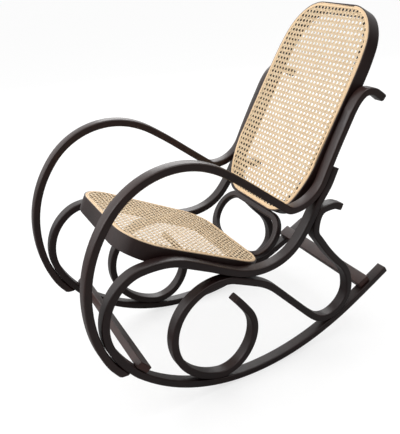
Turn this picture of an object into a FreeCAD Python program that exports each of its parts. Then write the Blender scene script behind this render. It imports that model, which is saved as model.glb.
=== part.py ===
import FreeCAD, Part
import Sketcher
import math
import os
from collections import namedtuple

# A bentwood rocking chair.
# Each side is three planar bent bars of one section: the arm, the rocker that turns up into the seat rail,
# and the scroll between them. Two boards tie the rockers, and the seat and back are caned hoops.
# X runs across the chair, the front faces -Y and Z is up. All lengths are millimetres, all angles degrees.

Vector = FreeCAD.Vector
Pose = namedtuple("Pose", "along up heading")
Piece = namedtuple("Piece", "start length turn")

SIZES = {
    # Bars of the side frames
    "bar_width": 34.0,
    "bar_thickness": 20.5,
    "arm_bevel": 4.0,
    "end_bevel": 1.0,
    "half_spread": 237.5,
    "toe_in": 2.23,
    # Rocker, measured at its underside from the line where it meets the floor
    "rocker_tip_back": 516.2,
    "rocker_tip_rise": 202.9,
    "rocker_tip_slope": 34.5,
    "rocker_bend_back": 255.0,
    "rocker_bend_rise": 51.0,
    "rocker_bend_slope": 22.0,
    "toe_forward": 319.7,
    "toe_rise": 115.3,
    "toe_slope": 40.5,
    # Riser and seat rail, on the bar's middle line
    "lap_forward": 341.0,
    "lap_rise": 152.5,
    "lap_slope": 49.0,
    "riser_forward": 397.5,
    "riser_rise": 280.0,
    "shoulder_forward": 342.1,
    "shoulder_rise": 394.2,
    "shoulder_slope": 37.0,
    "rail_top_forward": 250.0,
    "rail_top_rise": 417.0,
    "rail_slope_forward": 112.5,
    "rail_slope_rise": 374.5,
    "rail_slope": 25.6,
    "rail_dip_back": 42.0,
    "rail_dip_rise": 326.0,
    "rail_turn_back": 118.3,
    "rail_turn_rise": 343.1,
    "rail_turn_slope": 26.5,
    "rail_rise_back": 175.5,
    "rail_rise_rise": 394.5,
    "rail_rise_slope": 55.5,
    "rail_touch_over_dip": 35.0,
    "rail_end_over_dip": 97.0,
    # Arm and upright, on the bar's middle line
    "arm_foot_rise": 138.0,
    "arm_foot_run": 22.0,
    "arm_knee_forward": 393.0,
    "arm_knee_rise": 187.0,
    "arm_knee_slope": 61.2,
    "arm_front_forward": 435.5,
    "arm_front_rise": 362.0,
    "arm_top_forward": 193.0,
    "arm_top_rise": 651.5,
    "arm_fall_forward": 70.0,
    "arm_fall_rise": 615.0,
    "arm_fall_slope": 31.0,
    "arm_rest_back": 104.0,
    "arm_rest_rise": 497.5,
    "arm_rest_slope": 34.5,
    "arm_dip_back": 139.0,
    "arm_dip_rise": 480.0,
    "upright_back": 296.5,
    "upright_rise": 681.5,
    "upright_slope": 64.6,
    "upright_bend_back": 329.9,
    "upright_bend_rise": 745.3,
    "upright_bend_slope": 54.0,
    "finial_back": 367.0,
    "finial_rise": 769.5,
    "finial_end_back": 419.0,
    "finial_end_rise": 746.4,
    "finial_end_slope": 36.0,
    # Scroll, on the bar's middle line
    "ring_end_forward": 32.5,
    "ring_end_rise": 261.0,
    "ring_end_slope": 47.0,
    "ring_right_back": 31.5,
    "ring_right_rise": 150.0,
    "ring_low_forward": 2.5,
    "ring_low_rise": 66.0,
    "ring_low_slope": 47.0,
    "ring_seat_forward": 85.0,
    "ring_left_forward": 215.5,
    "ring_left_rise": 185.0,
    "ring_top_forward": 72.0,
    "ring_top_rise": 324.0,
    "ring_touch_forward": 30.0,
    "run_start_back": 100.0,
    "run_start_rise": 251.0,
    "run_end_back": 215.0,
    "run_slope": 42.6,
    "curl_low_back": 285.0,
    "curl_low_rise": 106.75,
    "curl_seat_back": 330.0,
    "curl_right_back": 365.0,
    "curl_right_rise": 185.0,
    "curl_rise_back": 249.0,
    "curl_rise_rise": 358.5,
    "curl_rise_slope": 53.0,
    "waist_back": 222.0,
    "waist_rise": 405.0,
    "hook_touch_back": 211.0,
    "hook_top_back": 278.0,
    "hook_top_over_touch": 18.3,
    "hook_end_back": 306.0,
    "hook_end_drop": 8.5,
    "hook_end_slope": 20.0,
    # Boards across the rockers
    "board_width": 39.0,
    "board_thickness": 20.0,
    "board_bevel": 2.0,
    "front_board_forward": 313.0,
    "rear_board_back": 437.5,
    "front_board_inset": 0.6,
    "rear_board_inset": 8.0,
    # Lean at rest, back from the pose in which the sizes are taken
    "rest_lean": 5.5,
    # Seat hoop, in the plane of its caned face, measured along the slope from the floor line
    "seat_slope": 22.2,
    "seat_rise": 352.5,
    "seat_front": 343.0,
    "seat_front_flat": 105.0,
    "seat_front_corner": 108.0,
    "seat_rear": 93.0,
    "seat_rear_flat": 110.0,
    "seat_rear_corner": 82.0,
    "seat_hoop_depth": 45.0,
    "hoop_width": 22.0,
    # Back hoop, in the plane of its caned face
    "back_slope": 64.0,
    "back_place": 140.0,
    "back_rise": 400.0,
    "back_low": 31.5,
    "back_low_flat": 78.0,
    "back_low_corner": 178.0,
    "back_side_end": 380.0,
    "back_shoulder": 535.0,
    "back_shoulder_half": 179.0,
    "back_shoulder_slope": 11.0,
    "back_top": 637.0,
    "back_top_flat": 66.0,
    "back_hoop_depth": 40.0,
    # Cane panels and the reed that holds their edge
    "cane_thickness": 1.6,
    "cane_pitch": 42.0,
    "cane_hole": 29.0,
    "reed_width": 4.0,
    "reed_height": 5.0,
    "reed_proud": 1.6,
    "rim_width": 3.0,
    # Brace hoop between the seat and the back
    "brace_section": 20.0,
    "brace_half_width": 150.0,
    "brace_low_flat": 65.0,
    "brace_high_flat": 90.0,
    "brace_side_share": 0.55,
    "brace_seat_drop": 16.0,
    "brace_back_depth": 20.0,
    # Fits
    "clearance": 0.3,
    "reed_clearance": 0.1,
}

REARWARD = 0.0
UPWARD = 90.0
FORWARD = 180.0
DOWNWARD = 270.0
LEFT = 1
RIGHT = -1
# Turns smaller than these are straight: an angle in degrees and one in radians
STRAIGHT = 0.001
NO_TURN = 1e-6
# How closely steps of halving or trying again come to a place
HALVINGS = 50
TRIES = 8
NEAR = 0.01

doc = FreeCAD.newDocument("RockingChair")
sheet = doc.addObject("Spreadsheet::Sheet", "Sizes")
for row, (name, value) in enumerate(SIZES.items(), start=1):
    sheet.set("A%d" % row, name)
    sheet.set("B%d" % row, str(value))
    sheet.setAlias("B%d" % row, name)
doc.recompute()


def size(name):
    return float(getattr(sheet, name))


# Routes: a bent bar's middle line is a chain of tangent arcs

def direction(heading):
    angle = math.radians(heading)
    return Vector(math.cos(angle), math.sin(angle), 0)


def point_of(pose):
    return Vector(pose.along, pose.up, 0)


def advance(pose, length, turn):
    """The pose after a steady bend of this length and turn."""
    if abs(turn) < NO_TURN:
        end = point_of(pose) + direction(pose.heading) * length
    else:
        radius = length / math.radians(turn)
        start_side = direction(pose.heading + 90)
        end_side = direction(pose.heading + turn + 90)
        end = point_of(pose) + (start_side - end_side) * radius
    return Pose(end.x, end.y, pose.heading + turn)


def aside(pose, distance):
    """The pose shifted to the left of its heading."""
    place = point_of(pose) + direction(pose.heading + 90) * distance
    return Pose(place.x, place.y, pose.heading)


def turned(pose):
    return Pose(pose.along, pose.up, pose.heading + 180)


def arc_to(start, end):
    """The steady bend that leaves the start pose and reaches the end point."""
    chord = end - point_of(start)
    ahead = chord.dot(direction(start.heading))
    left = chord.dot(direction(start.heading + 90))
    half_turn = math.atan2(left, ahead)
    if abs(half_turn) < NO_TURN:
        return Piece(start, chord.Length, 0.0)
    length = chord.Length * half_turn / math.sin(half_turn)
    return Piece(start, length, math.degrees(2 * half_turn))


def bend_pair(start, end):
    """Two tangent bends that leave one pose and arrive at the other."""
    leaving = direction(start.heading)
    arriving = direction(end.heading)
    span = point_of(end) - point_of(start)
    both = span.dot(leaving + arriving)
    spread = 1 - leaving.dot(arriving)
    if spread < NO_TURN ** 2:
        reach = span.dot(span) / (4 * span.dot(arriving))
    else:
        reach = (math.sqrt(both * both + 2 * spread * span.dot(span)) - both) / (2 * spread)
    middle = (point_of(start) + point_of(end) + (leaving - arriving) * reach) * 0.5
    first = arc_to(start, middle)
    if abs(first.turn) < STRAIGHT and abs(start.heading - end.heading) < STRAIGHT:
        return [Piece(start, span.Length, 0.0)]
    second = arc_to(advance(*first), point_of(end))
    return [first, second]


def route_through(poses):
    route = []
    for start, end in zip(poses, poses[1:]):
        route += bend_pair(start, end)
    return route


def route_end(route):
    return advance(*route[-1])


def shifted(route, distance):
    """The route beside this one, to the left of it."""
    beside = []
    for piece in route:
        length = piece.length - distance * math.radians(piece.turn)
        beside.append(Piece(aside(piece.start, distance), length, piece.turn))
    return beside


def within(piece, share):
    return advance(piece.start, piece.length * share, piece.turn * share)


def pose_where(route, coordinate, value):
    """The first pose of the route where its along or up reaches a value."""
    for piece in route:
        low, high = 0.0, 1.0
        before = getattr(within(piece, low), coordinate) - value
        after = getattr(within(piece, high), coordinate) - value
        if before * after > 0:
            continue
        for _ in range(HALVINGS):
            middle = (low + high) / 2
            if (getattr(within(piece, middle), coordinate) - value) * before > 0:
                low = middle
            else:
                high = middle
        return within(piece, low)
    raise ValueError("The route doesn't reach %s %g" % (coordinate, value))


# Poses of the side frames, in the plane of a side: along is rearward, up is height

THICK = size("bar_thickness")
HALF = THICK / 2


def back_pose(place, rise, heading):
    return Pose(size(place), size(rise), heading)


def front_pose(place, rise, heading):
    return Pose(-size(place), size(rise), heading)


def rocker_route():
    """From the rear tip down over the floor line and up to the arm's lap."""
    tip = aside(back_pose("rocker_tip_back", "rocker_tip_rise", FORWARD + size("rocker_tip_slope")), -HALF)
    bend = aside(back_pose("rocker_bend_back", "rocker_bend_rise", FORWARD + size("rocker_bend_slope")), -HALF)
    floor = Pose(0, HALF, FORWARD)
    toe = aside(front_pose("toe_forward", "toe_rise", FORWARD - size("toe_slope")), -HALF)
    lap = front_pose("lap_forward", "lap_rise", FORWARD - size("lap_slope"))
    return route_through([tip, bend, floor, toe, lap])


def rail_route(start):
    """From the arm's lap up the riser and back along the seat rail to where the rail turns up."""
    return route_through([
        start,
        front_pose("riser_forward", "riser_rise", UPWARD),
        front_pose("shoulder_forward", "shoulder_rise", size("shoulder_slope")),
        front_pose("rail_top_forward", "rail_top_rise", REARWARD),
        front_pose("rail_slope_forward", "rail_slope_rise", -size("rail_slope")),
        back_pose("rail_dip_back", "rail_dip_rise", REARWARD),
        back_pose("rail_turn_back", "rail_turn_rise", size("rail_turn_slope")),
        back_pose("rail_rise_back", "rail_rise_rise", size("rail_rise_slope")),
    ])


def rest_route(lap):
    """From the lap up over the arm rest and down to its dip beside the back."""
    touching = aside(lap, THICK + size("clearance"))
    foot = advance(touching, -size("arm_foot_run"), 0)
    return [Piece(foot, size("arm_foot_run"), 0.0)] + route_through([
        touching,
        front_pose("arm_knee_forward", "arm_knee_rise", FORWARD - size("arm_knee_slope")),
        front_pose("arm_front_forward", "arm_front_rise", UPWARD),
        front_pose("arm_top_forward", "arm_top_rise", REARWARD),
        front_pose("arm_fall_forward", "arm_fall_rise", -size("arm_fall_slope")),
        back_pose("arm_rest_back", "arm_rest_rise", -size("arm_rest_slope")),
        back_pose("arm_dip_back", "arm_dip_rise", REARWARD),
    ])


def upright_route(dip):
    """From the arm rest's dip up beside the back to the finial."""
    return route_through([
        dip,
        back_pose("upright_back", "upright_rise", size("upright_slope")),
        back_pose("upright_bend_back", "upright_bend_rise", size("upright_bend_slope")),
        back_pose("finial_back", "finial_rise", REARWARD),
        back_pose("finial_end_back", "finial_end_rise", -size("finial_end_slope")),
    ])


def scroll_contacts(rocker, rail):
    """Where the scroll's middle line lies beside the rocker, the rail and the upright."""
    beside = THICK + size("clearance")
    curl_seat = turned(aside(pose_where(rocker, "along", size("curl_seat_back")), -beside))
    return {
        "ring_seat": aside(pose_where(rocker, "along", -size("ring_seat_forward")), -beside),
        "ring_touch": aside(pose_where(rail, "along", -size("ring_touch_forward")), -beside),
        "curl_seat": Pose(curl_seat.along, curl_seat.up, curl_seat.heading - 360),
        "hook_touch": aside(pose_where(rail, "along", size("hook_touch_back")), -beside),
    }


def scroll_route(contacts):
    """From the ring's free end round the ring, down the long run, round the curl and up to the hook."""
    run_heading = -size("run_slope")
    run_start = back_pose("run_start_back", "run_start_rise", run_heading)
    run_along = size("run_end_back") - run_start.along
    run_end = advance(run_start, run_along / math.cos(math.radians(run_heading)), 0)
    hook_top = contacts["hook_touch"].up + size("hook_top_over_touch")
    return route_through([
        front_pose("ring_end_forward", "ring_end_rise", -size("ring_end_slope")),
        back_pose("ring_right_back", "ring_right_rise", DOWNWARD),
        front_pose("ring_low_forward", "ring_low_rise", FORWARD + size("ring_low_slope")),
        contacts["ring_seat"],
        front_pose("ring_left_forward", "ring_left_rise", UPWARD),
        front_pose("ring_top_forward", "ring_top_rise", REARWARD),
        contacts["ring_touch"],
        run_start,
        run_end,
        back_pose("curl_low_back", "curl_low_rise", REARWARD),
        contacts["curl_seat"],
        back_pose("curl_right_back", "curl_right_rise", UPWARD),
        back_pose("curl_rise_back", "curl_rise_rise", FORWARD - size("curl_rise_slope")),
        back_pose("waist_back", "waist_rise", UPWARD),
        contacts["hook_touch"],
        Pose(size("hook_top_back"), hook_top, REARWARD),
        Pose(size("hook_end_back"), hook_top - size("hook_end_drop"), -size("hook_end_slope")),
    ])


def upright_lap(upright, rail):
    """The rail's last bends, up to where it meets the arm's upright and on along its back."""
    behind = shifted(upright, -(THICK + size("clearance")))
    dip_rise = size("arm_dip_rise")
    return route_through([
        route_end(rail),
        pose_where(behind, "up", dip_rise + size("rail_touch_over_dip")),
        pose_where(behind, "up", dip_rise + size("rail_end_over_dip")),
    ])


# Placements of the side frames, the seat and the back

def side_frame(side):
    """From a side's plane, rearward, up and across, to the chair."""
    middle = size("half_spread") - size("bar_width") / 2
    upright = FreeCAD.Rotation(Vector(0, 1, 0), Vector(0, 0, 1), Vector(1, 0, 0), "XYZ")
    toed_in = FreeCAD.Rotation(Vector(0, 0, 1), side * size("toe_in"))
    return FreeCAD.Placement(Vector(side * middle, 0, 0), toed_in * upright)


def slope_frame(place, slope):
    """A plane across the chair whose second axis climbs at this slope and whose third faces the sitter."""
    angle = math.radians(slope)
    climb = Vector(0, math.cos(angle), math.sin(angle))
    across = Vector(1, 0, 0)
    rotation = FreeCAD.Rotation(across, climb, across.cross(climb), "XYZ")
    return FreeCAD.Placement(place, rotation)


def inner_half_width(back):
    """Half of the room between the side frames, at a distance behind the floor line."""
    toe = math.radians(size("toe_in"))
    middle = size("half_spread") - size("bar_width") / 2 - math.tan(toe) * back
    return middle - size("bar_width") / 2 / math.cos(toe) - size("clearance")


SEAT_FRAME = slope_frame(Vector(0, 0, size("seat_rise")), -size("seat_slope"))
BACK_FRAME = slope_frame(Vector(0, size("back_place"), size("back_rise")), size("back_slope"))


def seat_half_width(run):
    return inner_half_width(SEAT_FRAME.multVec(Vector(0, run, 0)).y)


def back_half_width(run):
    return inner_half_width(BACK_FRAME.multVec(Vector(0, run, -size("back_hoop_depth"))).y)


def mirrored(poses):
    """The poses of the other half of a symmetric hoop, in the order in which the route goes on."""
    return [Pose(-pose.along, pose.up, 360 - pose.heading) for pose in reversed(poses)]


def side_slope(half_width, start, end):
    return math.degrees(math.atan2(half_width(start) - half_width(end), end - start))


def seat_outline():
    front = -size("seat_front")
    side_start = front + size("seat_front_corner")
    side_end = size("seat_rear") - size("seat_rear_corner")
    side_heading = UPWARD + side_slope(seat_half_width, side_start, side_end)
    half = [
        Pose(0, front, REARWARD),
        Pose(size("seat_front_flat"), front, REARWARD),
        Pose(seat_half_width(side_start), side_start, side_heading),
        Pose(seat_half_width(side_end), side_end, side_heading),
        Pose(size("seat_rear_flat"), size("seat_rear"), FORWARD),
    ]
    return route_through(half + mirrored(half))


def back_outline():
    low = size("back_low")
    side_start = low + size("back_low_corner")
    side_end = size("back_side_end")
    side_heading = UPWARD + side_slope(back_half_width, side_start, side_end)
    half = [
        Pose(0, low, REARWARD),
        Pose(size("back_low_flat"), low, REARWARD),
        Pose(back_half_width(side_start), side_start, side_heading),
        Pose(back_half_width(side_end), side_end, side_heading),
        Pose(size("back_shoulder_half"), size("back_shoulder"), UPWARD + size("back_shoulder_slope")),
        Pose(size("back_top_flat"), size("back_top"), FORWARD),
    ]
    return route_through(half + mirrored(half))


def brace_support(angle):
    """How far the brace's square section reaches towards a face at this angle."""
    turn = math.radians(angle)
    return size("brace_section") / 2 * (abs(math.cos(turn)) + abs(math.sin(turn)))


def brace_ends():
    """The middle of the brace's low and high runs, just clear of the seat hoop and of the back hoop."""
    slope = size("back_slope")
    for _ in range(TRIES):
        low_reach = brace_support(slope + size("seat_slope")) + size("clearance")
        high_reach = brace_support(slope - size("back_slope")) + size("clearance")
        low = SEAT_FRAME.multVec(Vector(0, size("seat_rear") + low_reach, -size("brace_seat_drop")))
        high = BACK_FRAME.multVec(Vector(0, size("back_low") - high_reach, -size("brace_back_depth")))
        slope = math.degrees(math.atan2(high.z - low.z, high.y - low.y))
    return low, high, slope


def brace_route(height):
    half = [
        Pose(0, 0, REARWARD),
        Pose(size("brace_low_flat"), 0, REARWARD),
        Pose(size("brace_half_width"), height * size("brace_side_share"), UPWARD),
        Pose(size("brace_high_flat"), height, FORWARD),
    ]
    return route_through(half + mirrored(half))


# Bodies

def origin_plane(body, role):
    return [plane for plane in body.Origin.OriginFeatures if plane.Role == role][0]


def new_sketch(body, name, role):
    sketch = body.newObject("Sketcher::SketchObject", name)
    sketch.AttachmentSupport = [(origin_plane(body, role), "")]
    sketch.MapMode = "FlatFace"
    return sketch


def route_geometry(route, origin):
    """The route's lines and arcs, seen from the origin pose."""
    back = FreeCAD.Placement(point_of(origin), FreeCAD.Rotation(Vector(0, 0, 1), origin.heading)).inverse()
    geometry = []
    for piece in route:
        start = back.multVec(point_of(piece.start))
        middle = back.multVec(point_of(within(piece, 0.5)))
        end = back.multVec(point_of(within(piece, 1)))
        if piece.turn == 0:
            geometry.append(Part.LineSegment(start, end))
        else:
            geometry.append(Part.Arc(start, middle, end))
    return geometry


def draw_route(body, name, route, origin):
    sketch = new_sketch(body, name, "XY_Plane")
    for curve in route_geometry(route, origin):
        sketch.addGeometry(curve, False)
    return sketch


def bind_distance(sketch, kind, first, second, expression, name):
    """A signed distance between two points, tied to the sheet."""
    value = evaluated(expression)
    if value < 0:
        first, second = second, first
        expression = "-(" + expression + ")"
    index = sketch.addConstraint(Sketcher.Constraint(kind, *first, *second, abs(value)))
    sketch.renameConstraint(index, name)
    sketch.setExpression("Constraints." + name, expression)


def evaluated(expression):
    return float(sheet.evalExpression(expression.replace("Sizes.", "")))


def draw_polygon(sketch, corners):
    """Lines from corner to corner and back to the first, joined at their ends."""
    for first, second in zip(corners, corners[1:] + corners[:1]):
        sketch.addGeometry(Part.LineSegment(first, second), False)
    sides = len(corners)
    for side in range(sides):
        sketch.addConstraint(Sketcher.Constraint("Coincident", side, 2, (side + 1) % sides, 1))


def draw_rectangle(body, name, left, low, across, through):
    """A plain rectangle square to the start of a route, with its sizes tied to the sheet."""
    sketch = new_sketch(body, name, "YZ_Plane")
    x1, y1 = evaluated(left), evaluated(low)
    x2, y2 = x1 + evaluated(across), y1 + evaluated(through)
    draw_polygon(sketch, [Vector(x1, y1, 0), Vector(x2, y1, 0), Vector(x2, y2, 0), Vector(x1, y2, 0)])
    for side, kind in enumerate(("Horizontal", "Vertical", "Horizontal", "Vertical")):
        sketch.addConstraint(Sketcher.Constraint(kind, side))
    bind_distance(sketch, "DistanceX", (-1, 1), (0, 1), left, "left")
    bind_distance(sketch, "DistanceY", (-1, 1), (0, 1), low, "low")
    bind_distance(sketch, "DistanceX", (0, 1), (0, 2), across, "across")
    bind_distance(sketch, "DistanceY", (1, 1), (1, 2), through, "through")
    return sketch


def draw_bevelled(body, name, left, low, across, through, bevel):
    """A bevelled rectangle square to the start of a route, with its sizes tied to the sheet."""
    sketch = new_sketch(body, name, "YZ_Plane")
    x1, y1 = evaluated(left), evaluated(low)
    x2, y2 = x1 + evaluated(across), y1 + evaluated(through)
    cut = evaluated(bevel)
    corners = [
        Vector(x1 + cut, y1, 0),
        Vector(x2 - cut, y1, 0),
        Vector(x2, y1 + cut, 0),
        Vector(x2, y2 - cut, 0),
        Vector(x2 - cut, y2, 0),
        Vector(x1 + cut, y2, 0),
        Vector(x1, y2 - cut, 0),
        Vector(x1, y1 + cut, 0),
    ]
    draw_polygon(sketch, corners)
    for side, kind in ((0, "Horizontal"), (2, "Vertical"), (4, "Horizontal"), (6, "Vertical")):
        sketch.addConstraint(Sketcher.Constraint(kind, side))
    for side, x_ends, y_ends in ((1, (1, 2), (1, 2)), (3, (2, 1), (1, 2)), (5, (2, 1), (2, 1)), (7, (1, 2), (2, 1))):
        bind_distance(sketch, "DistanceX", (side, x_ends[0]), (side, x_ends[1]), bevel, "across_%d" % side)
        bind_distance(sketch, "DistanceY", (side, y_ends[0]), (side, y_ends[1]), bevel, "through_%d" % side)
    bind_distance(sketch, "DistanceX", (-1, 1), (6, 1), left, "left")
    bind_distance(sketch, "DistanceY", (-1, 1), (0, 1), low, "low")
    bind_distance(sketch, "DistanceX", (6, 1), (2, 1), across, "across")
    bind_distance(sketch, "DistanceY", (0, 1), (4, 1), through, "through")
    return sketch


def sweep(body, kind, name, section, path):
    feature = body.newObject("PartDesign::" + kind, name)
    feature.Profile = section
    feature.Spine = (path, ["Edge%d" % (index + 1) for index in range(len(path.Geometry))])
    feature.Mode = "Standard"
    return feature


def new_body(label, placement):
    body = doc.addObject("PartDesign::Body", label)
    body.Label = label
    body.Placement = placement
    return body


def end_face(feature, place):
    """The name of the flat end face whose middle lies at this place."""
    for index, face in enumerate(feature.Shape.Faces, start=1):
        if isinstance(face.Surface, Part.Plane) and (face.CenterOfMass - place).Length < NEAR:
            return "Face%d" % index
    raise ValueError("No end face at %s" % place)


BAR_SECTION = ("-Sizes.bar_thickness / 2", "-Sizes.bar_width / 2", "Sizes.bar_thickness", "Sizes.bar_width")


def start_frame(route):
    """The placement, in a side's plane, of a body whose first axis runs along the start of a route."""
    start = route[0].start
    return FreeCAD.Placement(point_of(start), FreeCAD.Rotation(Vector(0, 0, 1), start.heading))


def soften_ends(body, bar, places):
    """Small bevels round the flat ends of a bar whose middles lie at these places."""
    doc.recompute()
    soft = body.newObject("PartDesign::Chamfer", body.Label + "_ends")
    soft.Base = (bar, [end_face(bar, place) for place in places])
    soft.setExpression("Size", "Sizes.end_bevel")
    doc.recompute()


def bent_bar(label, side, route):
    """A bar of the common section, swept along its bends, with softened ends."""
    frame = start_frame(route)
    body = new_body(label, side_frame(side) * frame)
    path = draw_route(body, label + "_bends", route, route[0].start)
    section = draw_rectangle(body, label + "_section", *BAR_SECTION)
    bar = sweep(body, "AdditivePipe", label + "_bar", section, path)
    soften_ends(body, bar, [Vector(0, 0, 0), frame.inverse().multVec(point_of(route_end(route)))])
    return body


def arm_body(label, side, route):
    """The arm and upright in one bar, bevelled all along because hands rest on it."""
    frame = start_frame(route)
    body = new_body(label, side_frame(side) * frame)
    path = draw_route(body, label + "_bends", route, route[0].start)
    section = draw_bevelled(body, label + "_section", *BAR_SECTION, "Sizes.arm_bevel")
    bar = sweep(body, "AdditivePipe", label + "_bar", section, path)
    soften_ends(body, bar, [frame.inverse().multVec(point_of(route_end(route)))])
    cut_arm_foot(body, route)
    return body


def cut_arm_foot(body, route):
    """The arm's foot is cut level, so that its end reads as a flat over the rocker."""
    foot = route[0].start
    along_start = start_frame(route)
    reach = 2 * size("arm_foot_run")
    rise = size("arm_foot_rise")
    corners = [
        Vector(foot.along - reach, rise, 0),
        Vector(foot.along - reach, rise - reach, 0),
        Vector(foot.along + reach, rise - reach, 0),
        Vector(foot.along + reach, rise, 0),
    ]
    sketch = new_sketch(body, body.Label + "_foot_line", "XY_Plane")
    draw_polygon(sketch, [along_start.inverse().multVec(corner) for corner in corners])
    before = body.Shape.Volume
    cut = body.newObject("PartDesign::Pocket", body.Label + "_foot_cut")
    cut.Profile = sketch
    cut.SideType = "Symmetric"
    cut.setExpression("Length", "2 * Sizes.bar_width")
    doc.recompute()
    print(body.Label, "foot cut takes", round(before - body.Shape.Volume), "cubic mm")


def hoop_body(label, frame, outline, depth):
    """A hoop swept along its outline, with the reed's groove in its caned face."""
    start = outline[0].start
    body = new_body(label, frame * FreeCAD.Placement(point_of(start), FreeCAD.Rotation()))
    path = draw_route(body, label + "_bends", outline, start)
    section = draw_rectangle(body, label + "_section", "0", "-Sizes." + depth, "Sizes.hoop_width",
                             "Sizes." + depth)
    sweep(body, "AdditivePipe", label + "_hoop", section, path)
    doc.recompute()
    before = body.Shape.Volume
    groove = draw_rectangle(body, label + "_groove_section", "Sizes.rim_width",
                            "Sizes.reed_proud - Sizes.reed_height - Sizes.reed_clearance",
                            "Sizes.reed_width + 2 * Sizes.reed_clearance", "Sizes.reed_height")
    sweep(body, "SubtractivePipe", label + "_groove", groove, path)
    doc.recompute()
    print(label, "groove takes", round(before - body.Shape.Volume), "cubic mm")
    return body


def reed_body(label, frame, outline):
    """The reed that is pressed into the groove at the cane's edge."""
    start = outline[0].start
    body = new_body(label, frame * FreeCAD.Placement(point_of(start), FreeCAD.Rotation()))
    path = draw_route(body, label + "_bends", outline, start)
    section = draw_rectangle(body, label + "_section", "Sizes.rim_width + Sizes.reed_clearance",
                             "Sizes.reed_proud - Sizes.reed_height", "Sizes.reed_width", "Sizes.reed_height")
    sweep(body, "AdditivePipe", label + "_reed", section, path)
    return body


def cane_body(label, frame, outline):
    """The cane panel as one holed sheet, from reed to reed, with its open pattern inside the hoop."""
    start = outline[0].start
    body = new_body(label, frame * FreeCAD.Placement(point_of(start), FreeCAD.Rotation()))
    edge = size("rim_width") + size("reed_width") + 2 * size("reed_clearance")
    sketch = draw_route(body, label + "_outline", shifted(outline, edge), start)
    inside = shifted(outline, size("hoop_width"))
    opening = Part.Face(Part.Wire([curve.toShape() for curve in route_geometry(inside, start)]))
    box = opening.optimalBoundingBox()
    pitch = size("cane_pitch")
    half = size("cane_hole") / 2
    columns = int(box.XLength / pitch)
    rows = int(box.YLength / pitch)
    lines = []
    for column in range(columns):
        across = box.Center.x + (column - (columns - 1) / 2) * pitch
        for row in range(rows):
            along = box.Center.y + (row - (rows - 1) / 2) * pitch
            corners = [
                Vector(across - half, along - half, 0),
                Vector(across + half, along - half, 0),
                Vector(across + half, along + half, 0),
                Vector(across - half, along + half, 0),
            ]
            if all(opening.isInside(corner, NEAR, True) for corner in corners):
                for first, second in zip(corners, corners[1:] + corners[:1]):
                    lines.append(Part.LineSegment(first, second))
    sketch.addGeometry(lines, False)
    print(label, "has", len(lines) // 4, "openings")
    pad = body.newObject("PartDesign::Pad", label + "_sheet")
    pad.Profile = sketch
    pad.setExpression("Length", "Sizes.cane_thickness")
    return body


def brace_body(label):
    low, high, slope = brace_ends()
    body = new_body(label, slope_frame(low, slope))
    route = brace_route((high - low).Length)
    path = draw_route(body, label + "_bends", route, route[0].start)
    section = draw_rectangle(body, label + "_section", "-Sizes.brace_section / 2", "-Sizes.brace_section / 2",
                             "Sizes.brace_section", "Sizes.brace_section")
    sweep(body, "AdditivePipe", label + "_hoop", section, path)
    return body


def board_seat(rocker, along):
    """The frame of a board's underside, just clear of the rockers' curved and toed-in top faces."""
    top = shifted(rocker, -HALF)
    middle = turned(pose_where(top, "along", along))
    hollow = 0
    for reach in (-size("board_width") / 2, size("board_width") / 2):
        edge = advance(middle, reach, 0)
        face = pose_where(top, "along", edge.along)
        hollow = max(hollow, (face.up - edge.up) * math.cos(math.radians(middle.heading)))
    toe = math.radians(size("toe_in"))
    twist = size("bar_width") / 2 * math.sin(toe) * abs(math.sin(math.radians(middle.heading)))
    place = aside(middle, hollow + twist + size("clearance"))
    return slope_frame(Vector(0, math.cos(toe) * place.along, place.up), place.heading)


def board_body(label, frame, half_length):
    body = new_body(label, frame)
    sketch = new_sketch(body, label + "_section", "YZ_Plane")
    x = size("board_width") / 2
    y = size("board_thickness")
    draw_polygon(sketch, [Vector(-x, 0, 0), Vector(x, 0, 0), Vector(x, y, 0), Vector(-x, y, 0)])
    sketch.addConstraint(Sketcher.Constraint("Vertical", 1))
    sketch.addConstraint(Sketcher.Constraint("Vertical", 3))
    sketch.addConstraint(Sketcher.Constraint("Horizontal", 2))
    sketch.addConstraint(Sketcher.Constraint("Symmetric", 0, 1, 0, 2, -1, 1))
    bind_distance(sketch, "DistanceX", (0, 1), (0, 2), "Sizes.board_width", "across")
    bind_distance(sketch, "DistanceY", (1, 1), (1, 2), "Sizes.board_thickness", "through")
    pad = body.newObject("PartDesign::Pad", label + "_board")
    pad.Profile = sketch
    pad.SideType = "Symmetric"
    pad.setExpression("Length", "2 * (" + half_length + ")")
    doc.recompute()
    soft = body.newObject("PartDesign::Chamfer", label + "_edges")
    soft.Base = (pad, ["Edge%d" % (index + 1) for index in range(len(pad.Shape.Edges))])
    soft.setExpression("Size", "Sizes.board_bevel")
    return body


def main():
    rocker = rocker_route()
    rail = rail_route(route_end(rocker))
    rest = rest_route(route_end(rocker))
    upright = upright_route(route_end(rest))
    lap = upright_lap(upright, rail)
    scroll = scroll_route(scroll_contacts(rocker, rail + lap))
    parts = []
    for side, word in ((LEFT, "left"), (RIGHT, "right")):
        parts.append(arm_body("arm_" + word, side, rest + upright))
        parts.append(bent_bar("rocker_rail_" + word, side, rocker + rail + lap))
        parts.append(bent_bar("scroll_" + word, side, scroll))
    seat_line = seat_outline()
    back_line = back_outline()
    parts.append(hoop_body("seat_hoop", SEAT_FRAME, seat_line, "seat_hoop_depth"))
    parts.append(hoop_body("back_hoop", BACK_FRAME, back_line, "back_hoop_depth"))
    parts.append(reed_body("seat_reed", SEAT_FRAME, seat_line))
    parts.append(reed_body("back_reed", BACK_FRAME, back_line))
    parts.append(cane_body("seat_cane", SEAT_FRAME, seat_line))
    parts.append(cane_body("back_cane", BACK_FRAME, back_line))
    parts.append(brace_body("brace_hoop"))
    parts += board_bodies(rocker)
    doc.recompute()
    return parts


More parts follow.
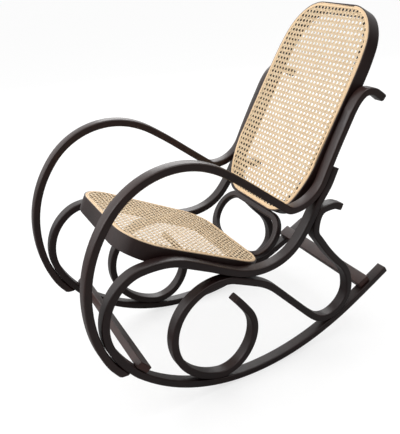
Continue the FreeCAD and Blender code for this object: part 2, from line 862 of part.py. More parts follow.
def board_bodies(rocker):
    """The two boards across the rockers, the front one flush with the sides and the rear one set in."""
    front_half = "Sizes.half_spread + tan(Sizes.toe_in) * Sizes.front_board_forward - Sizes.front_board_inset"
    rear_half = "Sizes.half_spread - tan(Sizes.toe_in) * Sizes.rear_board_back - Sizes.rear_board_inset"
    front_seat = board_seat(rocker, -size("front_board_forward"))
    rear_seat = board_seat(rocker, size("rear_board_back"))
    return [
        board_body("front_stretcher", front_seat, front_half),
        board_body("rear_stretcher", rear_seat, rear_half),
    ]


def lean_back(parts):
    """Roll the chair back on its rockers to where its weight is over the line that touches the floor."""
    lean = FreeCAD.Placement(Vector(), FreeCAD.Rotation(Vector(1, 0, 0), -size("rest_lean")))
    for part in parts:
        part.Placement = lean * part.Placement


def centre_on_base(parts):
    """Move every part so that the origin is the middle of the chair's base."""
    box = FreeCAD.BoundBox()
    for part in parts:
        box.add(part.Shape.optimalBoundingBox())
    shift = FreeCAD.Placement(Vector(-box.Center.x, -box.Center.y, -box.ZMin), FreeCAD.Rotation())
    for part in parts:
        part.Placement = shift * part.Placement
    print("Overall size", round(box.XLength, 1), round(box.YLength, 1), round(box.ZLength, 1))
    print("Shifted by", round(-box.Center.y, 3), round(-box.ZMin, 3))


def check(parts):
    for thing in doc.Objects:
        if "Invalid" in thing.State or "Error" in thing.State:
            raise RuntimeError(thing.Name + " failed to compute")
    for part in parts:
        if part.Shape.isNull() or not part.Shape.isValid():
            raise RuntimeError(part.Label + " has no valid shape")
        if part.TypeId == "PartDesign::Body" and len(part.Shape.Solids) != 1:
            raise RuntimeError(part.Label + " isn't one piece")


chair = main()
lean_back(chair)
centre_on_base(chair)
doc.recompute()
check(chair)
os.makedirs("parts", exist_ok=True)
for part in chair:
    part.Shape.exportStep(os.path.join("parts", part.Label + ".step"))
    print(part.Label, "volume", round(part.Shape.Volume / 1000, 1), "cm3, solids", len(part.Shape.Solids))
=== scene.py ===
# %% [markdown]
# # A bentwood rocking chair
# The solids of the chair come ready made, in metres, with the floor at z = 0 and the sitter facing -Y. This
# lesson lights them, rounds the edges of the bent bars, lacquers the wood and weaves the cane. The cane is
# the main work: a real caned panel is a weave of six strands per hole, so it is built strand by strand.

# %% Load the chair
import math

import bmesh
import bpy
from mathutils import Matrix, Vector
from mathutils.geometry import convex_hull_2d


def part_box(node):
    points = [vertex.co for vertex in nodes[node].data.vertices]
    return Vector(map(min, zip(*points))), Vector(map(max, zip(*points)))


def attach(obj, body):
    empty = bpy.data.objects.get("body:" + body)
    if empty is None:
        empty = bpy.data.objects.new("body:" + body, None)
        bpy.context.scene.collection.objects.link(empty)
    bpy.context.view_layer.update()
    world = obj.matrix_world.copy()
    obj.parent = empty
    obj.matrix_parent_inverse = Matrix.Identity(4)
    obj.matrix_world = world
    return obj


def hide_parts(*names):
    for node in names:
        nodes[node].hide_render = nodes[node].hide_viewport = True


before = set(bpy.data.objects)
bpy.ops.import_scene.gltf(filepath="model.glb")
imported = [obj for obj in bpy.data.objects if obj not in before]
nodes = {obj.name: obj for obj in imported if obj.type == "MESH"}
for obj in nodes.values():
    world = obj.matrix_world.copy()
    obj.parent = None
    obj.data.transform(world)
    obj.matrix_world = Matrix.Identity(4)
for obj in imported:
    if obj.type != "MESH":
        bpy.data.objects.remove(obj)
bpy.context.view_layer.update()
MM = 0.001

# %% [markdown]
# ## The camera
# The photograph was taken from the sitter's left front, a little above the arms. A camera can be placed by
# eye or worked out from parallel edges. Here it was worked out from the perspective of the two side frames.
# Its angles were measured against the frames' own level line. At rest the chair leans back on its rockers
# until its weight is over the line that touches the floor, and the camera is turned by the same angle.

# %% Place the camera
CAMERA_PLACE = Vector((1.4386, -0.7188, 1.1695))
CAMERA_AZIMUTH = math.radians(62.735)
CAMERA_ELEVATION = math.radians(23.165)
CHAIR_LEAN = math.radians(5.5)
PICTURE_HEIGHT = 434
FOCAL_LENGTH_IN_PIXELS = 614.4
SENSOR_MM = 36.0

camera_data = bpy.data.cameras.new("camera")
camera_data.sensor_width = SENSOR_MM
camera_data.lens = SENSOR_MM * FOCAL_LENGTH_IN_PIXELS / PICTURE_HEIGHT
camera = bpy.data.objects.new("camera", camera_data)
toward_camera = Vector((
    math.sin(CAMERA_AZIMUTH) * math.cos(CAMERA_ELEVATION),
    -math.cos(CAMERA_AZIMUTH) * math.cos(CAMERA_ELEVATION),
    math.sin(CAMERA_ELEVATION),
))
camera.location = CAMERA_PLACE
level_turn = (-toward_camera).to_track_quat("-Z", "Y").to_matrix()
camera.rotation_euler = (Matrix.Rotation(-CHAIR_LEAN, 3, "X") @ level_turn).to_euler()
bpy.context.collection.objects.link(camera)
bpy.context.scene.camera = camera
bpy.context.scene.view_settings.view_transform = "Standard"
print("The lens is", round(camera_data.lens, 1), "mm")

# %% [markdown]
# ## Light and floor
# A studio lights dark furniture from large soft panels, so that the lacquer shows broad pale reflections, and
# keeps the camera's own side of the room dim, so that the faces turned to the camera stay deep. One panel
# stands high in front of the chair and lights the cane. A second one stands behind the far side, where the
# tops of the bars mirror it towards the camera, and a small one above picks out the shoulder of the back
# hoop. The room is a sky that is bright above and dim beside the camera.

# %% Hang the light panels
CHAIR_MIDDLE = Vector((0, 0, 0.45))


def light_panel(name, place, width, watts):
    """A square light that looks from its place at the middle of the chair."""
    data = bpy.data.lights.new(name, "AREA")
    data.shape = "SQUARE"
    data.size = width
    data.energy = watts
    panel = bpy.data.objects.new(name, data)
    panel.location = place
    panel.rotation_euler = (CHAIR_MIDDLE - Vector(place)).to_track_quat("-Z", "Y").to_euler()
    bpy.context.collection.objects.link(panel)
    return panel


front_panel = light_panel("front_panel", place=(-0.5, -2.6, 2.6), width=2.2, watts=58)
far_panel = light_panel("far_panel", place=(-2.5, 1.3, 1.9), width=2.0, watts=30)
top_panel = light_panel("top_panel", place=(0.5, 1.5, 3.0), width=1.4, watts=16)
print("Light panels:", front_panel.name, far_panel.name, top_panel.name)

# %% Make the surrounding room
WHITE = (1, 1, 1, 1)
WHITE_STRENGTH = 1.0
ROOM_DIM = 0.07
ROOM_BRIGHT = 1.15
DIM_UP_TO = -0.5
BRIGHT_FROM = 0.9
BRIGHT_SIDE = Vector((-0.55, -0.25, 0.8)).normalized()

world = bpy.data.worlds.new("studio")
bpy.context.scene.world = world
world.use_nodes = True
room = world.node_tree
room.nodes.clear()
way = room.nodes.new("ShaderNodeTexCoord")
facing = room.nodes.new("ShaderNodeVectorMath")
facing.operation = "DOT_PRODUCT"
facing.inputs[1].default_value = BRIGHT_SIDE
room.links.new(way.outputs["Generated"], facing.inputs[0])
level = room.nodes.new("ShaderNodeMapRange")
level.interpolation_type = "SMOOTHSTEP"
level.inputs["From Min"].default_value = DIM_UP_TO
level.inputs["From Max"].default_value = BRIGHT_FROM
level.inputs["To Min"].default_value = ROOM_DIM
level.inputs["To Max"].default_value = ROOM_BRIGHT
room.links.new(facing.outputs["Value"], level.inputs["Value"])
lighting = room.nodes.new("ShaderNodeBackground")
lighting.inputs["Color"].default_value = WHITE
room.links.new(level.outputs["Result"], lighting.inputs["Strength"])
seen = room.nodes.new("ShaderNodeBackground")
seen.inputs["Color"].default_value = WHITE
seen.inputs["Strength"].default_value = WHITE_STRENGTH
path = room.nodes.new("ShaderNodeLightPath")
either = room.nodes.new("ShaderNodeMixShader")
world_out = room.nodes.new("ShaderNodeOutputWorld")
room.links.new(path.outputs["Is Camera Ray"], either.inputs["Fac"])
room.links.new(lighting.outputs["Background"], either.inputs[1])
room.links.new(seen.outputs["Background"], either.inputs[2])
room.links.new(either.outputs["Shader"], world_out.inputs["Surface"])
print("The room's level runs from", ROOM_DIM, "to", ROOM_BRIGHT)

# %% [markdown]
# The floor is a grey sheet. The camera sees it as white paper that still takes the chair's soft shadow: for
# the camera's rays alone, part of its white is its own and part is lit. All other rays meet the grey, which
# keeps its light off the undersides.

# %% Lay the floor
FLOOR_HALF = 40.0
FLOOR_GREY = (0.28, 0.28, 0.28, 1)
OWN_WHITE_SHARE = 0.7

floor_mesh = bpy.data.meshes.new("floor")
floor_corners = [(FLOOR_HALF * x, FLOOR_HALF * y, 0) for x, y in ((-1, -1), (1, -1), (1, 1), (-1, 1))]
floor_mesh.from_pydata(floor_corners, [], [(0, 1, 2, 3)])
floor = bpy.data.objects.new("floor", floor_mesh)
bpy.context.collection.objects.link(floor)
floor_paint = bpy.data.materials.new("floor_paint")
floor_paint.use_nodes = True
paper = floor_paint.node_tree
paper.nodes.clear()
own = paper.nodes.new("ShaderNodeEmission")
own.inputs["Color"].default_value = WHITE
own.inputs["Strength"].default_value = WHITE_STRENGTH
lit = paper.nodes.new("ShaderNodeBsdfDiffuse")
lit.inputs["Color"].default_value = WHITE
white = paper.nodes.new("ShaderNodeMixShader")
white.inputs["Fac"].default_value = OWN_WHITE_SHARE
paper.links.new(lit.outputs["BSDF"], white.inputs[1])
paper.links.new(own.outputs["Emission"], white.inputs[2])
grey = paper.nodes.new("ShaderNodeBsdfDiffuse")
grey.inputs["Color"].default_value = FLOOR_GREY
floor_path = paper.nodes.new("ShaderNodeLightPath")
floor_either = paper.nodes.new("ShaderNodeMixShader")
floor_out = paper.nodes.new("ShaderNodeOutputMaterial")
paper.links.new(floor_path.outputs["Is Camera Ray"], floor_either.inputs["Fac"])
paper.links.new(grey.outputs["BSDF"], floor_either.inputs[1])
paper.links.new(white.outputs["Shader"], floor_either.inputs[2])
paper.links.new(floor_either.outputs["Shader"], floor_out.inputs["Surface"])
floor_mesh.materials.append(floor_paint)
print("The floor reaches", FLOOR_HALF, "m each way")

# %% [markdown]
# ## Effects that several finishes share
# Wood pores, cane fibres and the reed's streaks are all the same thing at different scales: noise drawn out
# along the fibre. It could be copied into each material, but one node group with named inputs keeps them
# alike. Worn edges are a second group. It reads how sharply the surface turns and gives a mask for the edges.

# %% Make the streak group
def new_group(name, inputs, outputs):
    """An empty node group with named inputs and outputs."""
    group = bpy.data.node_groups.new(name, "ShaderNodeTree")
    for socket, kind in inputs:
        group.interface.new_socket(socket, in_out="INPUT", socket_type=kind)
    for socket, kind in outputs:
        group.interface.new_socket(socket, in_out="OUTPUT", socket_type=kind)
    return group, group.nodes.new("NodeGroupInput"), group.nodes.new("NodeGroupOutput")


FINE_DETAIL = 3.0
BROAD_DETAIL = 2.0


def streak_group():
    """Noise from 0 to 1, drawn out along its vector's first axis, and a broad slow variation beside it."""
    group, given, out = new_group(
        "fibre_streaks",
        [("Vector", "NodeSocketVector"), ("Along", "NodeSocketFloat"),
         ("Across", "NodeSocketFloat"), ("Broad", "NodeSocketFloat")],
        [("Fine", "NodeSocketFloat"), ("Broad", "NodeSocketFloat")],
    )
    add, link = group.nodes.new, group.links.new
    scales = add("ShaderNodeCombineXYZ")
    link(given.outputs["Along"], scales.inputs["X"])
    link(given.outputs["Across"], scales.inputs["Y"])
    link(given.outputs["Across"], scales.inputs["Z"])
    stretched = add("ShaderNodeVectorMath")
    stretched.operation = "MULTIPLY"
    link(given.outputs["Vector"], stretched.inputs[0])
    link(scales.outputs["Vector"], stretched.inputs[1])
    fine = add("ShaderNodeTexNoise")
    fine.inputs["Scale"].default_value = 1.0
    fine.inputs["Detail"].default_value = FINE_DETAIL
    link(stretched.outputs["Vector"], fine.inputs["Vector"])
    broad = add("ShaderNodeTexNoise")
    broad.inputs["Detail"].default_value = BROAD_DETAIL
    link(given.outputs["Vector"], broad.inputs["Vector"])
    link(given.outputs["Broad"], broad.inputs["Scale"])
    link(fine.outputs["Fac"], out.inputs["Fine"])
    link(broad.outputs["Fac"], out.inputs["Broad"])
    return group


fibre_streaks = streak_group()
print("Made the group", fibre_streaks.name)

# %% Make the edge wear group
EDGE_STARTS = 0.53
EDGE_FULL = 0.66
PATCH_SCALE = 35.0
PATCH_DETAIL = 4.0


def wear_group():
    """A mask of convex edges, broken up by noise so that it isn't an even line."""
    group, given, out = new_group(
        "edge_wear",
        [("Vector", "NodeSocketVector"), ("Amount", "NodeSocketFloat")],
        [("Mask", "NodeSocketFloat")],
    )
    add, link = group.nodes.new, group.links.new
    shape = add("ShaderNodeNewGeometry")
    edges = add("ShaderNodeMapRange")
    edges.inputs["From Min"].default_value = EDGE_STARTS
    edges.inputs["From Max"].default_value = EDGE_FULL
    link(shape.outputs["Pointiness"], edges.inputs["Value"])
    patches = add("ShaderNodeTexNoise")
    patches.inputs["Scale"].default_value = PATCH_SCALE
    patches.inputs["Detail"].default_value = PATCH_DETAIL
    link(given.outputs["Vector"], patches.inputs["Vector"])
    worn = add("ShaderNodeMath")
    worn.operation = "MULTIPLY"
    link(edges.outputs["Result"], worn.inputs[0])
    link(patches.outputs["Fac"], worn.inputs[1])
    scaled = add("ShaderNodeMath")
    scaled.operation = "MULTIPLY"
    link(worn.outputs["Value"], scaled.inputs[0])
    link(given.outputs["Amount"], scaled.inputs[1])
    link(scaled.outputs["Value"], out.inputs["Mask"])
    return group


edge_wear = wear_group()
print("Made the group", edge_wear.name)

# %% [markdown]
# ## Finishes
# The bars are beech, stained almost black with a red-brown undertone and sprayed with a satin lacquer. The
# stain lets the pores through as fine dark streaks, and along the edges, where it is rubbed thin, the brown
# shows. A thin clear coat over the colour stands for the lacquer and adds a soft, pale reflection.

# %% Helpers for materials
NOISE_LOW = 0.25
NOISE_HIGH = 0.75


def place_group(tree, group, **values):
    """A node that places a group in a material with its own values."""
    node = tree.nodes.new("ShaderNodeGroup")
    node.node_tree = group
    for name, value in values.items():
        node.inputs[name].default_value = value
    return node


def mixed_colour(tree, factor, first, second):
    """A colour between two others. Each is a colour or a socket."""
    node = tree.nodes.new("ShaderNodeMix")
    node.data_type = "RGBA"
    colour_inputs = [socket for socket in node.inputs if socket.type == "RGBA"]
    for socket, value in zip(colour_inputs, (first, second)):
        if isinstance(value, tuple):
            socket.default_value = value
        else:
            tree.links.new(value, socket)
    tree.links.new(factor, node.inputs["Factor"])
    return [socket for socket in node.outputs if socket.type == "RGBA"][0]


def ranged(tree, value, low, high):
    """Noise, which mostly lies near its middle, spread out from low to high."""
    node = tree.nodes.new("ShaderNodeMapRange")
    node.inputs["From Min"].default_value = NOISE_LOW
    node.inputs["From Max"].default_value = NOISE_HIGH
    node.inputs["To Min"].default_value = low
    node.inputs["To Max"].default_value = high
    tree.links.new(value, node.inputs["Value"])
    return node.outputs["Result"]


def bumped(tree, shader, height, depth):
    """Fine relief of the given depth in metres."""
    node = tree.nodes.new("ShaderNodeBump")
    node.inputs["Strength"].default_value = 1.0
    node.inputs["Distance"].default_value = depth
    tree.links.new(height, node.inputs["Height"])
    tree.links.new(node.outputs["Normal"], shader.inputs["Normal"])


# %% Lacquer the wood
STAIN_DARK = (0.0085, 0.0036, 0.0036, 1)
STAIN_BROWN = (0.022, 0.0075, 0.0062, 1)
BARE_BROWN = (0.085, 0.036, 0.026, 1)
END_GRAIN = (0.085, 0.026, 0.019, 1)
PORE_STRENGTH = 0.35
PORE_DEPTH = 0.06 * MM
LACQUER_SMOOTH = 0.34
LACQUER_ROUGH = 0.46
LACQUER_SPECULAR = 0.42
COAT_WEIGHT = 0.12
COAT_ROUGHNESS = 0.22


def lacquered(name, dark, brown, wear):
    """Stained wood under a satin coat, with pores along Y and thin stain on its edges."""
    paint = bpy.data.materials.new(name)
    paint.use_nodes = True
    tree = paint.node_tree
    shader = tree.nodes["Principled BSDF"]
    place = tree.nodes.new("ShaderNodeTexCoord").outputs["Object"]
    turned = tree.nodes.new("ShaderNodeMapping")
    turned.inputs["Rotation"].default_value = (0, 0, math.radians(90))
    tree.links.new(place, turned.inputs["Vector"])
    streaks = place_group(tree, fibre_streaks, Along=30.0, Across=900.0, Broad=9.0)
    tree.links.new(turned.outputs["Vector"], streaks.inputs["Vector"])
    worn = place_group(tree, edge_wear, Amount=wear)
    tree.links.new(place, worn.inputs["Vector"])
    toned = mixed_colour(tree, ranged(tree, streaks.outputs["Broad"], 0.0, 1.0), dark, brown)
    pored = mixed_colour(tree, ranged(tree, streaks.outputs["Fine"], PORE_STRENGTH, 0.0), toned, dark)
    tree.links.new(mixed_colour(tree, worn.outputs["Mask"], pored, BARE_BROWN), shader.inputs["Base Color"])
    roughness = ranged(tree, streaks.outputs["Fine"], LACQUER_SMOOTH, LACQUER_ROUGH)
    tree.links.new(roughness, shader.inputs["Roughness"])
    shader.inputs["Specular IOR Level"].default_value = LACQUER_SPECULAR
    shader.inputs["Coat Weight"].default_value = COAT_WEIGHT
    shader.inputs["Coat Roughness"].default_value = COAT_ROUGHNESS
    bumped(tree, shader, streaks.outputs["Fine"], PORE_DEPTH)
    return paint


wood = lacquered("lacquered_wood", STAIN_DARK, STAIN_BROWN, wear=0.8)
end_grain = lacquered("stained_end_grain", STAIN_BROWN, END_GRAIN, wear=0.4)
print("Wood finishes:", wood.name, end_grain.name)

# %% [markdown]
# Cane is the shiny bark of rattan, split into flat strands. It is pale straw, with fine fibres along it, and
# each strand has a slightly different tone. The tone is stored on the strand's own mesh, as a value for each
# strand, so the material can read it. The reed that locks the edge is the core of the same plant, duller and
# even.

# %% Colour the cane and the reed
STRAW_PALE = (0.92, 0.77, 0.54, 1)
STRAW_WARM = (0.80, 0.55, 0.31, 1)
REED_PALE = (0.84, 0.64, 0.42, 1)
REED_WARM = (0.70, 0.47, 0.27, 1)
TONE = "tone"
PATCH_STRENGTH = 0.35
LINE_STRENGTH = 0.3
FIBRE_DEPTH = 0.04 * MM
ROUGHNESS_SPREAD = 0.12


def fibre_material(name, pale, warm, roughness):
    """Plant fibre: tones that differ from strand to strand, and streaks along each one."""
    paint = bpy.data.materials.new(name)
    paint.use_nodes = True
    tree = paint.node_tree
    shader = tree.nodes["Principled BSDF"]
    place = tree.nodes.new("ShaderNodeTexCoord").outputs["UV"]
    streaks = place_group(tree, fibre_streaks, Along=45.0, Across=2600.0, Broad=30.0)
    tree.links.new(place, streaks.inputs["Vector"])
    strand = tree.nodes.new("ShaderNodeAttribute")
    strand.attribute_name = TONE
    strand_colour = mixed_colour(tree, strand.outputs["Fac"], pale, warm)
    patches = ranged(tree, streaks.outputs["Broad"], 0.0, PATCH_STRENGTH)
    patchy = mixed_colour(tree, patches, strand_colour, warm)
    lines = ranged(tree, streaks.outputs["Fine"], LINE_STRENGTH, 0.0)
    lined = mixed_colour(tree, lines, patchy, warm)
    tree.links.new(lined, shader.inputs["Base Color"])
    uneven = ranged(tree, streaks.outputs["Fine"], roughness, roughness + ROUGHNESS_SPREAD)
    tree.links.new(uneven, shader.inputs["Roughness"])
    bumped(tree, shader, streaks.outputs["Fine"], FIBRE_DEPTH)
    return paint


cane = fibre_material("cane_strands", STRAW_PALE, STRAW_WARM, roughness=0.42)
reed = fibre_material("reed_core", REED_PALE, REED_WARM, roughness=0.55)
print("Plant fibres:", cane.name, reed.name)

# %% [markdown]
# ## Rounding the bars
# Bent bars are machined before they are steamed, so every long edge is a soft round. Most of the solids have
# plain square edges, to stay light. The round could be faked in the shader, but it would be missing from the
# outline. So each bar's mesh is copied, its flat faces are joined up again and its square edges get a real
# round.

# %% Round a copy of a solid
EDGE_ANGLE = math.radians(60)
SMOOTH_ANGLE = math.radians(50)
FLAT_ANGLE = math.radians(0.2)
SAME_PLACE = 1e-6
QUARTER_ROUND = 0.5


def rounded_copy(node, radius, keep=lambda place: True, segments=3):
    """A copy of a solid with its square edges rounded where keep says so."""
    source = nodes[node]
    mesh = bpy.data.meshes.new(node + "_rounded")
    work = bmesh.new()
    work.from_mesh(source.data)
    bmesh.ops.remove_doubles(work, verts=work.verts, dist=SAME_PLACE)
    bmesh.ops.dissolve_limit(work, angle_limit=FLAT_ANGLE, verts=work.verts, edges=work.edges)
    square = []
    for edge in work.edges:
        middle = (edge.verts[0].co + edge.verts[1].co) / 2
        if len(edge.link_faces) == 2 and edge.calc_face_angle() > EDGE_ANGLE and keep(middle):
            square.append(edge)
    if radius > 0 and square:
        bmesh.ops.bevel(work, geom=square, offset=radius, segments=segments, profile=QUARTER_ROUND,
                        affect="EDGES", clamp_overlap=True)
    work.to_mesh(mesh)
    work.free()
    piece = bpy.data.objects.new(node + "_bar", mesh)
    bpy.context.collection.objects.link(piece)
    for polygon in mesh.polygons:
        polygon.use_smooth = True
    mesh.set_sharp_from_angle(angle=SMOOTH_ANGLE)
    even = piece.modifiers.new("even_normals", "WEIGHTED_NORMAL")
    even.keep_sharp = True
    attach(piece, "root")
    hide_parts(node)
    return piece


# %% Round the side frames and the brace
BAR_ROUND = 4.5 * MM
BRACE_ROUND = 5 * MM
ARM_END_ROUND = 1 * MM

bars = [rounded_copy("arm_" + side, ARM_END_ROUND, segments=1) for side in ("left", "right")]
bars += [rounded_copy("rocker_rail_" + side, BAR_ROUND) for side in ("left", "right")]
bars += [rounded_copy("scroll_" + side, BAR_ROUND) for side in ("left", "right")]
bars.append(rounded_copy("brace_hoop", BRACE_ROUND))
for bar in bars:
    bar.data.materials.clear()
    bar.data.materials.append(wood)
print("Rounded", len(bars), "bars")

# %% Finish the stretchers with end grain
FACES_SIDEWAYS = 0.9

for name in ("front_stretcher", "rear_stretcher"):
    board = rounded_copy(name, 0)
    board.data.materials.clear()
    board.data.materials.append(wood)
    board.data.materials.append(end_grain)
    for polygon in board.data.polygons:
        polygon.material_index = 1 if abs(polygon.normal.x) > FACES_SIDEWAYS else 0
    print(name, "ends are end grain")

# %% [markdown]
# ## The planes of the seat and the back
# Each caned panel is flat and lies in a tilted plane. Everything about the weave is easier in that plane,
# with X across and a second axis up the slope, so a small frame turns flat places into real ones and back.
# The outline isn't drawn again: it is the outer edge of the solid panel, which is convex, so its hull gives
# it.

# %% Set up the panels' planes
class Slope:
    """A tilted plane across the chair: across, climb and out, towards the sitter."""

    def __init__(self, node, degrees):
        angle = math.radians(degrees)
        self.across = Vector((1, 0, 0))
        self.climb = Vector((0, math.cos(angle), math.sin(angle)))
        self.out = self.across.cross(self.climb)
        low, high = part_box(node)
        self.origin = (low + high) / 2
        top = max(self.flat(vertex.co).z for vertex in nodes[node].data.vertices)
        self.origin += self.out * top

    def flat(self, place):
        """A real place as across, climb and height over the panel's face."""
        offset = place - self.origin
        return Vector((offset.dot(self.across), offset.dot(self.climb), offset.dot(self.out)))

    def real(self, x, y, height=0.0):
        return self.origin + self.across * x + self.climb * y + self.out * height

    def outline(self, node):
        """The outer edge of a flat solid, counted round, as flat points."""
        points = [self.flat(vertex.co).to_2d() for vertex in nodes[node].data.vertices]
        return [points[index] for index in convex_hull_2d(points)]


SEAT_SLOPE = -27.7
BACK_SLOPE = 58.5
seat_plane = Slope("seat_cane", SEAT_SLOPE)
back_plane = Slope("back_cane", BACK_SLOPE)
seat_edge = seat_plane.outline("seat_cane")
back_edge = back_plane.outline("back_cane")
print("The seat's cane has", len(seat_edge), "edge points and the back's", len(back_edge))

# %% Finish the hoops
HOOP_ROUND = 3 * MM
FACE_DEPTH = 10 * MM


def hoop(node, plane):
    """A hoop whose rear edges are rounded. Its caned face keeps its thin rim and its groove."""
    piece = rounded_copy(node, HOOP_ROUND, keep=lambda place: plane.flat(place).z < -FACE_DEPTH)
    piece.data.materials.clear()
    piece.data.materials.append(wood)
    return piece


hoops = [hoop("seat_hoop", seat_plane), hoop("back_hoop", back_plane)]
print("Finished", [piece.name for piece in hoops])

# %% [markdown]
# ## Weaving the cane
# The traditional pattern has eight-sided holes in a square grid. Pairs of strands run up and across between
# the holes, and single strands cut the corners at 45 degrees both ways. A picture of the pattern on a flat
# sheet would be quick, but it has no depth at the edges of the holes and the light can't pass, so each strand
# is a thin ribbon, thickest along its middle, that rises and dips as it passes the others.

# %% Cut a strand to the panel
PITCH = 15 * MM
PAIR_GAP = 1.8 * MM
UPRIGHT_PAIR_GAP = 2.15 * MM
STRAND_WIDTH = 3.1 * MM
STRAND_THICKNESS = 0.5 * MM
RISE = 0.35 * MM
STEPS_PER_PITCH = 4
SHORTEST_STRAND = PITCH / 4
FAR_OUTSIDE = 10.0
PARALLEL = 1e-12


def clipped(edge, start, direction):
    """The stretch of an endless line that lies inside a convex edge, as two distances along it."""
    near, far = -FAR_OUTSIDE, FAR_OUTSIDE
    count = len(edge)
    middle = sum(edge, Vector((0, 0))) / count
    for index in range(count):
        first, second = edge[index], edge[(index + 1) % count]
        along = second - first
        inward = Vector((-along.y, along.x))
        if inward.dot(middle - first) < 0:
            inward.negate()
        speed = inward.dot(direction)
        distance = inward.dot(first - start)
        if abs(speed) < PARALLEL:
            if distance > 0:
                return None
        elif speed > 0:
            near = max(near, distance / speed)
        else:
            far = min(far, distance / speed)
    return (near, far) if far - near > SHORTEST_STRAND else None


# %% Lay one strand
SIDES = 4
STREAK_SHIFT = 7


def lay_strand(work, plane, edge, start, direction, phase, width, lift, tone):
    """One ribbon along a line, waving over and under the strands it passes."""
    stretch = clipped(edge, start, direction)
    if stretch is None:
        return 0
    near, far = stretch
    steps = max(2, round((far - near) / PITCH * STEPS_PER_PITCH))
    sideways = Vector((-direction.y, direction.x)) * width / 2
    uv_layer = work.loops.layers.uv.verify()
    tone_layer = work.verts.layers.float[TONE]
    rings = []
    for step in range(steps + 1):
        distance = near + (far - near) * step / steps
        place = start + direction * distance
        height = lift + RISE * math.cos(math.pi * distance / PITCH + phase)
        section = (
            plane.real(*(place - sideways), height),
            plane.real(*place, height + STRAND_THICKNESS / 2),
            plane.real(*(place + sideways), height),
            plane.real(*place, height - STRAND_THICKNESS / 2),
        )
        ring = [work.verts.new(corner) for corner in section]
        for vertex in ring:
            vertex[tone_layer] = tone
        rings.append((distance, ring))
    across = [width / 2 * side for side in range(SIDES + 1)]
    for (first_distance, first), (second_distance, second) in zip(rings, rings[1:]):
        for corner in range(SIDES):
            following = (corner + 1) % SIDES
            face = work.faces.new((first[corner], first[following], second[following], second[corner]))
            face.smooth = True
            places = (
                (first_distance, across[corner]), (first_distance, across[corner + 1]),
                (second_distance, across[corner + 1]), (second_distance, across[corner]),
            )
            for loop, (u, v) in zip(face.loops, places):
                loop[uv_layer].uv = (u + tone, v + tone * STREAK_SHIFT)
    return far - near


# %% [markdown]
# The tone of each strand comes from a fixed wave of its number, so the panel is uneven but the same each
# time. Strands that run up the panel lie lowest, those across lie over them, and the slanting ones are drawn
# through last.

# %% Weave a panel
LAYER = 0.35 * MM
SHEET_DEPTH = 1.0 * MM
TONE_MIDDLE = 0.3
TONE_SPREAD = 0.3
SINE_PACE = 12.9898
COSINE_PACE = 4.1414


def strand_tone(number):
    """An uneven but repeatable value from 0 to 0.6."""
    return TONE_MIDDLE + TONE_SPREAD * math.sin(number * SINE_PACE) * math.cos(number * COSINE_PACE)


def weave(name, node, plane, edge):
    """All strands of one caned panel in one mesh."""
    work = bmesh.new()
    work.verts.layers.float.new(TONE)
    reach = max(point.length for point in edge)
    lines = math.ceil(reach / PITCH) + 1
    up, over = Vector((0, 1)), Vector((1, 0))
    length = 0.0
    number = 0
    for line in range(-lines, lines + 1):
        middle = (line + 0.5) * PITCH
        for side in (-1, 1):
            phase = math.pi * (side > 0)
            upright = over * (middle + side * UPRIGHT_PAIR_GAP)
            length += lay_strand(work, plane, edge, upright, up, phase, STRAND_WIDTH,
                                 -SHEET_DEPTH, strand_tone(number))
            level = up * (middle + side * PAIR_GAP)
            length += lay_strand(work, plane, edge, level, over, phase, STRAND_WIDTH,
                                 -SHEET_DEPTH + LAYER, strand_tone(number + 0.5))
            number += 1
    slant = math.sqrt(0.5)
    for line in range(-2 * lines, 2 * lines + 1):
        offset = (line + 0.5) * PITCH * slant
        for turn in (-1, 1):
            direction = Vector((slant, turn * slant))
            sideways = Vector((-direction.y, direction.x))
            length += lay_strand(work, plane, edge, sideways * offset, direction, math.pi * (line % 2),
                                 STRAND_WIDTH, -SHEET_DEPTH + 2 * LAYER, strand_tone(number))
            number += 1
    mesh = bpy.data.meshes.new(name)
    work.to_mesh(mesh)
    work.free()
    mesh.materials.append(cane)
    piece = bpy.data.objects.new(name, mesh)
    bpy.context.collection.objects.link(piece)
    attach(piece, "root")
    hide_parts(node)
    print(name, "has", number, "strands,", round(length, 1), "m of cane")
    return piece


seat_weave = weave("seat_weave", "seat_cane", seat_plane, seat_edge)
back_weave = weave("back_weave", "back_cane", back_plane, back_edge)

# %% [markdown]
# ## The edge of the cane
# Where the woven sheet is pressed into the hoop's groove, its last few millimetres lie flat on the wood,
# which reads as a plain band. Over its end a reed is driven into the groove.
# Both follow the panel's outline. The reed is a round cane, so a curve with a round section gives it at once.

# %% Step an outline inwards
def stepped_in(edge, distance):
    """The same outline, moved inwards by a distance at every point."""
    count = len(edge)
    middle = sum(edge, Vector((0, 0))) / count
    moved = []
    for index in range(count):
        before, here, after = edge[index - 1], edge[index], edge[(index + 1) % count]
        along = (after - before).normalized()
        inward = Vector((-along.y, along.x))
        if inward.dot(middle - here) < 0:
            inward.negate()
        moved.append(here + inward * distance)
    return moved


# %% Lay the plain bands
BAND_WIDTH = 4.5 * MM
BAND_TOP = 0.25 * MM
BAND_TONE = 0.7


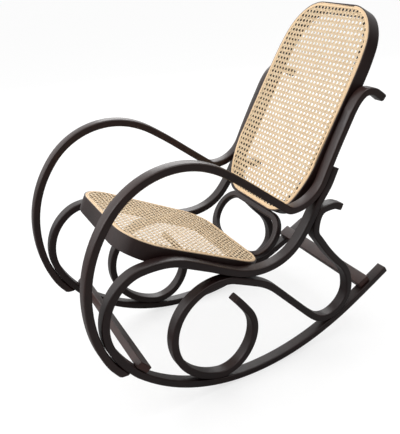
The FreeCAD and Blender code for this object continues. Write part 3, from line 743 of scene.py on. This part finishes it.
def band(name, plane, edge):
    """A flat ring of close cane between the reed and the first row of holes."""
    work = bmesh.new()
    tone_layer = work.verts.layers.float.new(TONE)
    uv_layer = work.loops.layers.uv.verify()
    loops = []
    section = ((0, -SHEET_DEPTH), (0, BAND_TOP), (BAND_WIDTH, BAND_TOP), (BAND_WIDTH, -SHEET_DEPTH))
    for inset, height in section:
        ring = [work.verts.new(plane.real(*point, height)) for point in stepped_in(edge, inset)]
        for vertex in ring:
            vertex[tone_layer] = BAND_TONE
        loops.append(ring)
    count = len(edge)
    travelled = 0.0
    for index in range(count):
        following = (index + 1) % count
        length = (edge[following] - edge[index]).length
        for row, (first, second) in enumerate(zip(loops, loops[1:])):
            face = work.faces.new((first[index], first[following], second[following], second[index]))
            places = (
                (travelled, row), (travelled + length, row),
                (travelled + length, row + 1), (travelled, row + 1),
            )
            for loop, (u, v) in zip(face.loops, places):
                loop[uv_layer].uv = (u, v * BAND_WIDTH)
        travelled += length
    bmesh.ops.recalc_face_normals(work, faces=work.faces)
    mesh = bpy.data.meshes.new(name)
    work.to_mesh(mesh)
    work.free()
    mesh.materials.append(cane)
    piece = bpy.data.objects.new(name, mesh)
    bpy.context.collection.objects.link(piece)
    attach(piece, "root")
    return piece


bands = [band("seat_band", seat_plane, seat_edge), band("back_band", back_plane, back_edge)]
print("Laid", [piece.name for piece in bands])

# %% Drive in the reeds
REED_RADIUS = 2.1 * MM
REED_STANDS = 0.4 * MM


def driven_reed(name, node, plane):
    """A round reed along the middle of the groove."""
    edge = stepped_in(plane.outline(node), REED_RADIUS)
    curve = bpy.data.curves.new(name, "CURVE")
    curve.dimensions = "3D"
    curve.bevel_depth = REED_RADIUS
    curve.bevel_resolution = 3
    spline = curve.splines.new("POLY")
    spline.points.add(len(edge) - 1)
    for point, flat in zip(spline.points, edge):
        point.co = (*plane.real(*flat, REED_STANDS - REED_RADIUS), 1)
    spline.use_cyclic_u = True
    curve.materials.append(reed)
    piece = bpy.data.objects.new(name, curve)
    bpy.context.collection.objects.link(piece)
    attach(piece, "root")
    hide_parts(node)
    return piece


reeds = [
    driven_reed("seat_spline", "seat_reed", seat_plane),
    driven_reed("back_spline", "back_reed", back_plane),
]
print("Drove in", [piece.name for piece in reeds])
